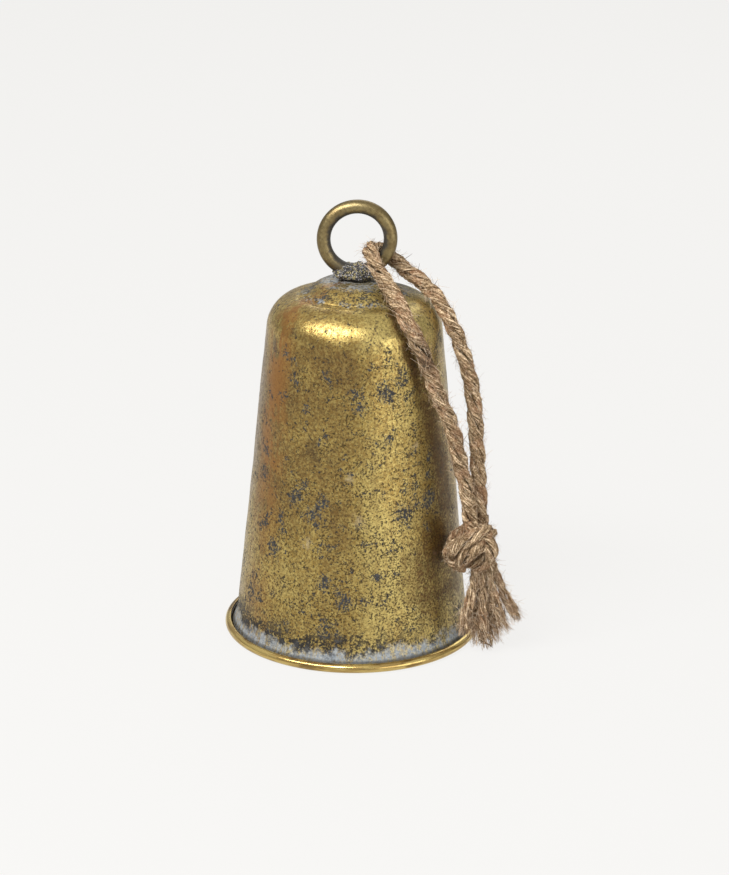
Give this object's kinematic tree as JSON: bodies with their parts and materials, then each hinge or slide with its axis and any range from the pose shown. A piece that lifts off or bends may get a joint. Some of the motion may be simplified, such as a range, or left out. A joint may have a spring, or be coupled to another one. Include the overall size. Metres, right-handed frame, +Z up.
{
  "type": "yard dinner bell",
  "caption": "Tall tapered sheet-metal hand bell with rolled rim, domed cap, welded hanging ring, ball clapper on a chain link, and a knotted jute rope through the ring.",
  "frame": {"origin": "on the bell's axis, in the plane of the rim it stands on", "axes": "+Z up along the bell's axis to the hanging ring; the ring lies in the XZ plane; the rope lies on the +X side"},
  "size_m": [0.1615, 0.1396, 0.241],
  "materials": {
    "gilded_sheet": "antique gold leaf over dark iron sheet, worn and speckled",
    "ring_rod": "smooth antique brass with dark recesses",
    "dark_steel": "steel rod and ball with dark scale",
    "weld_metal": "rough granular weld and filler with grey residue",
    "jute_rope": "fuzzy three-strand jute"
  },
  "bodies": {
    "bell": {"bell_body": "gilded_sheet", "rim_wire": "dark_steel", "crown_cap": "gilded_sheet", "crown_braze": "weld_metal", "hanging_ring": "ring_rod", "ring_weld": "weld_metal", "clapper_staple": "dark_steel", "staple_weld_left": "weld_metal", "staple_weld_right": "weld_metal"},
    "link": {"clapper_link": "dark_steel"},
    "clapper": {"clapper_shank": "dark_steel", "clapper_ball": "dark_steel", "clapper_weld": "weld_metal"},
    "rope": {"rope_loop": "jute_rope", "rope_knot": "jute_rope", "tassel_strand_1": "jute_rope", "tassel_strand_2": "jute_rope", "tassel_strand_3": "jute_rope", "tassel_strand_4": "jute_rope", "tassel_strand_5": "jute_rope", "tassel_strand_6": "jute_rope"}
  },
  "joints": [
    {"name": "link_swing", "type": "hinge", "parent": "bell", "child": "link", "pos_m": [0, 0, 0.1828], "axis": [1, 0, 0], "range_deg": [-4, 4]},
    {"name": "clapper_swing", "type": "hinge", "parent": "link", "child": "clapper", "pos_m": [0, 0, 0.1633], "axis": [0, 1, 0], "range_deg": [-19, 19]},
    {"name": "rope_swing", "type": "hinge", "parent": "bell", "child": "rope", "pos_m": [0.0008, 0, 0.21973], "axis": [0, -1, 0], "range_deg": [0, 150]}
  ]
}
